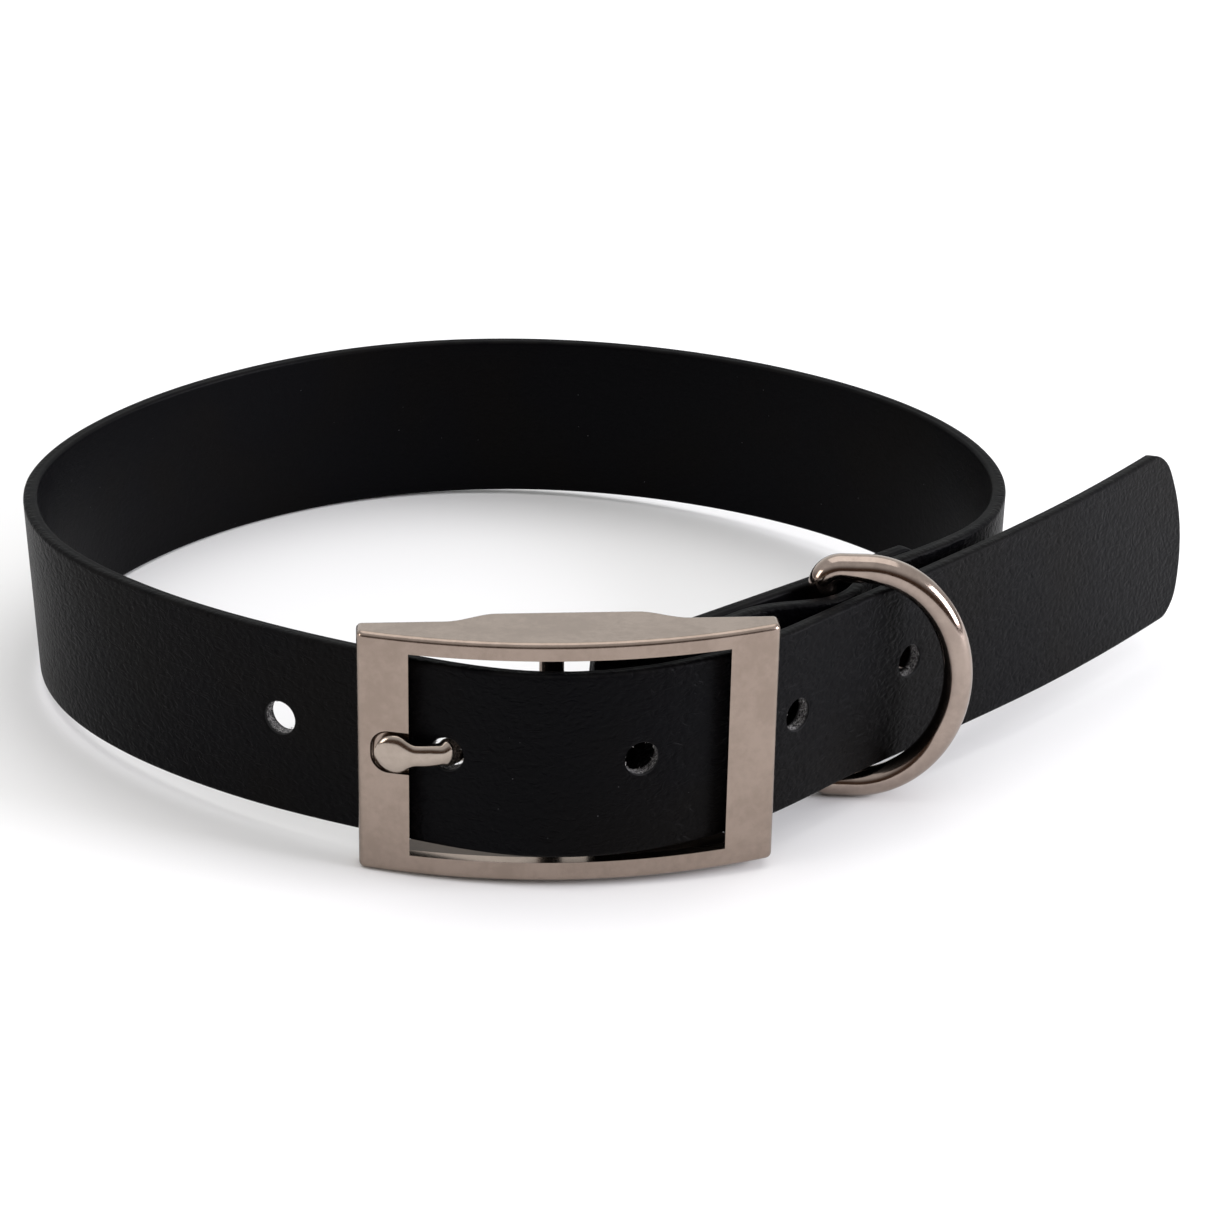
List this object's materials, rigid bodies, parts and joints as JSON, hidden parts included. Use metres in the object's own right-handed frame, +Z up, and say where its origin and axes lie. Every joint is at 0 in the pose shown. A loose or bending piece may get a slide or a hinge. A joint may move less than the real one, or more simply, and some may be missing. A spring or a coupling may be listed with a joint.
{
  "type": "dog collar",
  "caption": "Buckled flat dog collar of coated webbing with a centre-bar buckle, a swinging D-ring for the leash and a free strap end.",
  "frame": {"origin": "middle of the bounding box at its base, on the surface the collar rests on", "axes": "+Z up, the buckle's front towards -Y, the free strap end towards +X"},
  "size_m": [0.1696, 0.1298, 0.0353],
  "materials": {
    "black_coated_webbing": "pebbled satin coating",
    "satin_nickel": "satin plated",
    "plated_wire": "polished plating"
  },
  "bodies": {
    "collar": {"strap": "black_coated_webbing", "buckle_frame": "satin_nickel", "centre_bar": "satin_nickel", "tongue": "satin_nickel", "rivet_0": "satin_nickel", "rivet_1": "satin_nickel"},
    "ring": {"d_ring": "plated_wire"}
  },
  "joints": [
    {"name": "ring_swing", "type": "hinge", "parent": "collar", "child": "ring", "pos_m": [0.02306, -0.03813, 0.01752], "axis": [-0.025, 0.0321, 0.9992], "range_deg": [-86, 2]}
  ]
}
